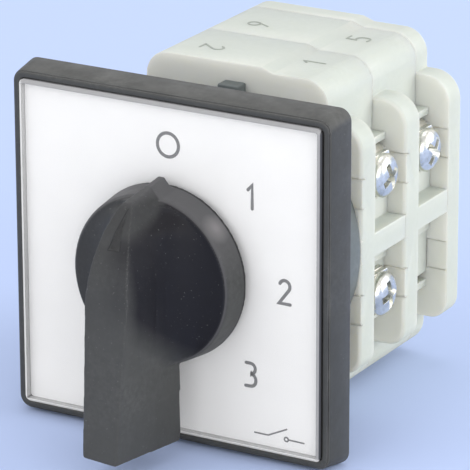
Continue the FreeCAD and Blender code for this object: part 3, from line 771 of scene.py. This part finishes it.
def pointer_plate():
    """The pointer's triangle laid on the crest, as a double sheet whose two layers coincide."""
    foot_left, foot_right, apex = (Vector(c) for c in pointer_corners)
    bm = bmesh.new()
    grid = []
    for i in range(pointer_rows + 1):
        share = apex_share * i / pointer_rows
        a, b = (foot.lerp(apex, share) for foot in (foot_left, foot_right))
        row = [a.lerp(b, j / pointer_columns) for j in range(pointer_columns + 1)]
        grid.append([bm.verts.new(on_crest(*p, pointer_lift)) for p in row])
    for low, high in zip(grid, grid[1:]):
        for j in range(pointer_columns):
            bm.faces.new((low[j], low[j + 1], high[j + 1], high[j]))
    # The sheet has no normals yet, so the second layer stays in the first one's place
    bmesh.ops.solidify(bm, geom=bm.faces[:], thickness=0.2 * MM)
    mesh = closed_mesh_from(bm, "pointer_plate")
    mesh.shade_smooth()
    mesh.set_sharp_from_angle(angle=sharp_angle)
    finish = finish_of("pointer_insert")
    add_piece("pointer_plate", mesh, finish, "rotor", ("pointer_insert",))


on_crest = soft_handle()
pointer_plate()


# Print on the dial, the painted shade line round the pointer, and the terminals' numbers, in
# millimetres


def arc(x, z, radius_x, radius_z, start, end, steps):
    """Points on an ellipse; the angles are in degrees, from the right and counter-clockwise."""
    turns = [math.radians(start + (end - start) * i / steps) for i in range(steps + 1)]
    return [(x + radius_x * math.cos(t), z + radius_z * math.sin(t)) for t in turns]


# Each digit is drawn in a cell 1 high and about 0.5 wide, its foot at 0
digits = {
    "1": [[(-0.2, 0.78), (0.0, 1.0), (0.0, 0.0)]],
    "2": [arc(0.0, 0.75, 0.24, 0.25, 160, -35, 9) + [(-0.26, 0.0), (0.26, 0.0)]],
    "3": [
        [(-0.22, 1.0)] + arc(0.0, 0.77, 0.22, 0.23, 90, -90, 8)
        + arc(0.0, 0.27, 0.25, 0.27, 90, -90, 9) + [(-0.24, 0.0)]
    ],
    "5": [
        [(0.22, 1.0), (-0.2, 1.0), (-0.22, 0.55)]
        + arc(0.0, 0.31, 0.25, 0.31, 100, -90, 10) + [(-0.24, 0.02)]
    ],
    "6": [[(0.14, 1.0), (-0.19, 0.42)] + arc(0.0, 0.26, 0.24, 0.26, 140, 500, 16)],
}

mitre_least = 0.5
cap_length = 0.8
cap_width = 0.55


def across(way):
    return Vector((-way.y, way.x))


def stroke(bm, path, half, to_space, depth):
    """A thin raised ribbon along a path of 2-D points, with tapered ends and mitred corners."""
    closed = (Vector(path[0]) - Vector(path[-1])).length < 1e-9
    points = [Vector(p) for p in (path[:-1] if closed else path)]
    count = len(points)
    rings = []
    for i, p in enumerate(points):
        ways = []
        if i or closed:
            ways.append((p - points[i - 1]).normalized())
        if i + 1 < count or closed:
            ways.append((points[(i + 1) % count] - p).normalized())
        side = across(sum(ways, Vector((0.0, 0.0))).normalized())
        reach = half / max(mitre_least, abs(side.dot(across(ways[0]))))
        rings.append([p + side * reach, p - side * reach])
    if not closed:
        for end, towards in ((0, points[0] - points[1]), (-1, points[-1] - points[-2])):
            ahead = towards.normalized()
            tip = points[end] + ahead * half * cap_length
            cap = [tip + s * across(ahead) * half * cap_width for s in (1, -1)]
            if end == 0:
                rings.insert(0, [cap[1], cap[0]])
            else:
                rings.append([cap[0], cap[1]])
    made = [
        [[bm.verts.new(to_space(p.x, p.y, d)) for p in ring] for d in (0.0, depth)]
        for ring in rings
    ]
    if closed:
        made.append(made[0])
    for a, b in zip(made, made[1:]):
        (al, ar), (atl, atr) = a
        (bl, br), (btl, btr) = b
        sides = ((atl, atr, btr, btl), (al, bl, br, ar), (al, atl, btl, bl), (ar, br, btr, atr))
        for face in sides:
            bm.faces.new(face)
    if not closed:
        for (l, r), (tl, tr) in (made[0], made[-1]):
            bm.faces.new((l, r, tr, tl))


def written(name, strokes, half, to_space, depth, material, body):
    bm = bmesh.new()
    for path in strokes:
        stroke(bm, path, half, to_space, depth)
    add_piece(name, closed_mesh_from(bm, name), material, body)


def placed(digit, x, z, height):
    return [[(x + u * height, z + v * height) for u, v in path] for path in digits[digit]]


label_face = -5.8
print_lift = 0.005
print_depth = 0.03
dial_size = 4.2
dial_places = {"1": (16.1, 15.5), "2": (22.4, -0.4), "3": (15.75, -16.6)}
dial = [arc(-0.35, 22.15, 2.08, 2.12, 90, 450, 36)]
for digit, (x, z) in dial_places.items():
    dial += placed(digit, x, z - dial_size / 2, dial_size)
symbol = [
    [(16.54, -27.03), (19.19, -27.05), (22.87, -25.28)],
    arc(22.77, -27.16, 0.38, 0.38, 0, 360, 14),
    [(23.2, -27.16), (26.22, -27.21)],
]


def on_label(x, z, d):
    return Vector((x, label_face - print_lift - d, z)) * MM


for name, strokes, half in (("dial_print", dial, 0.30), ("dial_symbol", symbol, 0.14)):
    written(name, strokes, half, on_label, print_depth, print_ink, "base")


def along(a, b, steps=12):
    return [tuple(Vector(a).lerp(Vector(b), i / steps)) for i in range(steps + 1)]


foot_left, foot_right, apex = pointer_corners
groove = along(apex, foot_left) + along(foot_left, foot_right)[1:]
groove += along(foot_right, apex, 4)[1:2]
# Painted shade: a thin dark line where the pointer's groove would lie in shade, along its left
# side and foot, with a short stub on the right
written(
    "pointer_groove", [groove], 0.085, on_crest, print_depth, painted_groove_shade, "rotor"
)

mark_height = 4.2
mark_half = 0.18
mark_lift = 0.02
mark_depth = 0.06
# Where a stage's two numbers stand: foot's x, way up, middle's distance from the front, top's z
mark_rows = ((12.6, -1, 9.4, 30.0), (-10.4, 1, 6.4, 30.8))
for node, numbers in (("stage_housing_1", ("1", "2")), ("stage_housing_2", ("5", "6"))):
    y_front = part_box(node)[0].y / MM
    for number, (x_foot, sense, y_in, top) in zip(numbers, mark_rows):

        def on_top(u, v, d, x_foot=x_foot, sense=sense, y_mid=y_front + y_in, top=top):
            return Vector((x_foot + sense * v, y_mid - sense * u, top + mark_lift + d)) * MM

        paths = placed(number, 0.0, 0.0, mark_height)
        name = f"mark_{number}_{node[-1]}"
        written(name, paths, mark_half, on_top, mark_depth, mark_ink, "base")


# Screws with domed heads and cross recesses, in millimetres

turn_steps = 48
thread_pitch = 0.7
thread_root = 0.84


def turned(profile):
    """A closed body about Z from (radius, height) points in metres, from axis to axis."""
    bm = bmesh.new()
    rings = []
    for radius, height in profile:
        if radius < 1e-9:
            rings.append([bm.verts.new((0.0, 0.0, height))])
            continue
        ring = []
        for i in range(turn_steps):
            t = 2 * math.pi * i / turn_steps
            ring.append(bm.verts.new((radius * math.cos(t), radius * math.sin(t), height)))
        rings.append(ring)
    for a, b in zip(rings, rings[1:]):
        for i in range(turn_steps):
            j = (i + 1) % turn_steps
            corners = [a[i % len(a)], a[j % len(a)], b[j % len(b)], b[i % len(b)]]
            unique = []
            for v in corners:
                if v not in unique:
                    unique.append(v)
            bm.faces.new(unique)
    return closed_mesh_from(bm, "screw")


def cross_cutter(reach, width, depth, top):
    """Two crossed wings that taper towards the bottom of the recess."""
    bm = bmesh.new()
    for quarter in range(2):
        spin = Matrix.Rotation(math.pi / 2 * quarter, 4, "Z")
        corners = []
        for height, share, slim in ((top + 0.5, 1.15, 1.1), (top - depth, 0.5, 0.6)):
            for sx, sy in ((-1, -1), (1, -1), (1, 1), (-1, 1)):
                at = Vector((sx * reach * share, sy * width / 2 * slim, height)) * MM
                corners.append(bm.verts.new(spin @ at))
        low, high = corners[4:], corners[:4]
        bm.faces.new(low)
        bm.faces.new(high)
        for i in range(4):
            j = (i + 1) % 4
            bm.faces.new((low[i], low[j], high[j], high[i]))
    return closed_mesh_from(bm, "cutter")


def screw_mesh(head_radius, head_height, shank_radius, shank_length, recess):
    """A pan head on a threaded shank, along +Z, with the head's seat at 0."""
    r, h = head_radius, head_height
    dome = [(r * 0.96, 0.0), (r, 0.12 * h), (r, 0.34 * h)]
    for i in range(1, 8):
        t = math.pi / 2 * i / 8
        dome.append((r * (0.30 + 0.70 * math.cos(t)), h * (0.34 + 0.66 * math.sin(t))))
    dome.append((0.0, h))
    root = thread_root * shank_radius
    profile = [(0.0, -shank_length), (0.7 * shank_radius, -shank_length)]
    for i in range(int((shank_length - 0.8) / thread_pitch)):
        low = -shank_length + 0.3 + i * thread_pitch
        profile += [(root, low), (shank_radius, low + thread_pitch / 2)]
    profile += [(root, -0.35), (root, 0.0)]
    body = scratch_object(turned([(a * MM, b * MM) for a, b in profile + dome]), "screw")
    cutter = scratch_object(cross_cutter(*recess, h), "cutter")
    cut = body.modifiers.new("cut", "BOOLEAN")
    cut.object = cutter
    cut.solver = "EXACT"
    cut.use_self = True
    shape = applied(body)
    for used in (body, cutter):
        bpy.data.objects.remove(used)
    return shape


def set_of_screws(name, node, mesh, places, slot):
    """One piece with a copy of the mesh at every place: (point, axis, turn in degrees)."""
    bm = bmesh.new()
    for point, axis, spin in places:
        part = mesh.copy()
        aim = Vector(axis).to_track_quat("Z", "Y").to_matrix().to_4x4()
        spun = Matrix.Rotation(math.radians(spin), 4, "Z")
        part.transform(Matrix.Translation(Vector(point) * MM) @ aim @ spun)
        bm.from_mesh(part)
        bpy.data.meshes.remove(part)
    whole = mesh_from(bm, name)
    piece = add_piece(name, whole, finishes[slot], "base", (node,))
    whole.shade_smooth()
    round_edges(piece, 0.06 * MM, 2, 38, clamped=True)


def middle_of(node):
    low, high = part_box(node)
    return (low + high) / 2 / MM


# A recess is its reach, width and depth
terminal = screw_mesh(
    head_radius=3.95, head_height=2.3, shank_radius=2.0, shank_length=5.3, recess=(2.75, 1.25, 1.9)
)
terminal_level = 11.0
# Each pair of terminal screws: its strips, above or below the shaft, and the two screws' turns
terminal_rows = (("1_upper", 1, (28, 61)), ("1_lower", -1, (12, 40)), ("2_upper", 1, (55, 15)))
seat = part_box("clamp_washers")[1].x / MM
places = []
for tag, sense, spins in terminal_rows:
    y_mid = middle_of(f"terminal_strip_{tag}_right").y
    for side, spin in zip((1, -1), spins):
        places.append(((side * seat, y_mid, sense * terminal_level), (side, 0, 0), spin))
set_of_screws("terminal_screws_made", "terminal_screws", terminal, places, "zinc_steel")

tie_head = 2.4
tie_reach = 18.8
tie = screw_mesh(
    head_radius=2.75, head_height=tie_head, shank_radius=1.5, shank_length=44.0,
    recess=(1.8, 0.85, 1.6),
)
y_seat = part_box("tie_screws")[1].y / MM - tie_head
places = [((side * tie_reach, y_seat, 0.0), (0, 1, 0), spin) for side, spin in ((-1, 22), (1, 67))]
set_of_screws("tie_screws_made", "tie_screws", tie, places, "plain_steel")


# Floor, backdrop colour and lamps

backdrop_low = shade((0.530, 0.655, 0.900))
backdrop_high = shade((1.0, 1.0, 1.0))
floor_seen = shade((0.575, 0.690, 1.0))
floor_dark = shade((0.70, 0.70, 0.71))
floor_light = shade((0.72, 0.72, 0.73))
world_light = shade((0.65, 0.65, 0.655))
floor_size = 12.0


def seen(n):
    """1 for what the camera sees, straight, mirrored or through glass, and 0 for light."""
    path = n.add("ShaderNodeLightPath").outputs
    either = n.math("ADD", path["Is Camera Ray"], path["Is Glossy Ray"])
    either = n.math("ADD", either, path["Is Transmission Ray"], clamp=True)
    return n.math("SUBTRACT", either, path["Diffuse Depth"], clamp=True)


floor_low = cad_box[0][2]
bpy.ops.mesh.primitive_plane_add(size=floor_size, location=(0.0, 0.0, floor_low))
floor = bpy.context.object
floor.name = "floor"
material, n, place, surface, _ = new_material("floor_paper")
plain = n.blend(n.spread(n.noise(place, 30.0, 4.0)), floor_dark, floor_light)
n.set(surface.inputs["Base Color"], n.blend(seen(n), plain, floor_seen))
surface.inputs["Roughness"].default_value = 0.9
surface.inputs["Specular IOR Level"].default_value = 0.0
floor.data.materials.append(material)

world = bpy.data.worlds.new("studio")
world.use_nodes = True
bpy.context.scene.world = world
world.node_tree.nodes.clear()
n = Nodes(world.node_tree)
back = n.add("ShaderNodeBackground", {"Strength": 1.0})
height = n.split(n.add("ShaderNodeTexCoord").outputs["Generated"])["Z"]
shown = n.blend(n.rise(height, 0.06, 0.22), backdrop_low, backdrop_high)
n.set(back.inputs["Color"], n.blend(seen(n), world_light, shown))
n.set(n.add("ShaderNodeOutputWorld").inputs["Surface"], back.outputs[0])

lamp_aim = Vector((0.0, 0.015, 0.0))
# Each lamp's name, place, size and level
lamps = (
    ("key", (-1.15, -1.70, 1.00), 3.0, 0.46),
    ("top", (-0.15, 0.40, 1.90), 1.2, 0.11),
    ("side", (1.60, 1.00, 0.64), 1.4, 0.48),
    ("fill", (1.60, -1.15, 0.46), 1.8, 0.38),
    ("low", (0.55, -1.90, 0.05), 1.4, 0.18),
)


def lamp(name, place, size, level):
    """A square soft box; level is about how bright it makes a white surface that faces it."""
    light = bpy.data.lights.new(name, "AREA")
    light.shape = "SQUARE"
    light.size = size
    away = Vector(place) - lamp_aim
    light.energy = level * math.pi ** 2 * away.length ** 2
    item = bpy.data.objects.new(name, light)
    bpy.context.scene.collection.objects.link(item)
    item.location = place
    item.rotation_euler = away.to_track_quat("Z", "Y").to_euler()


for row in lamps:
    lamp(*row)

bpy.context.scene.view_settings.view_transform = "Standard"
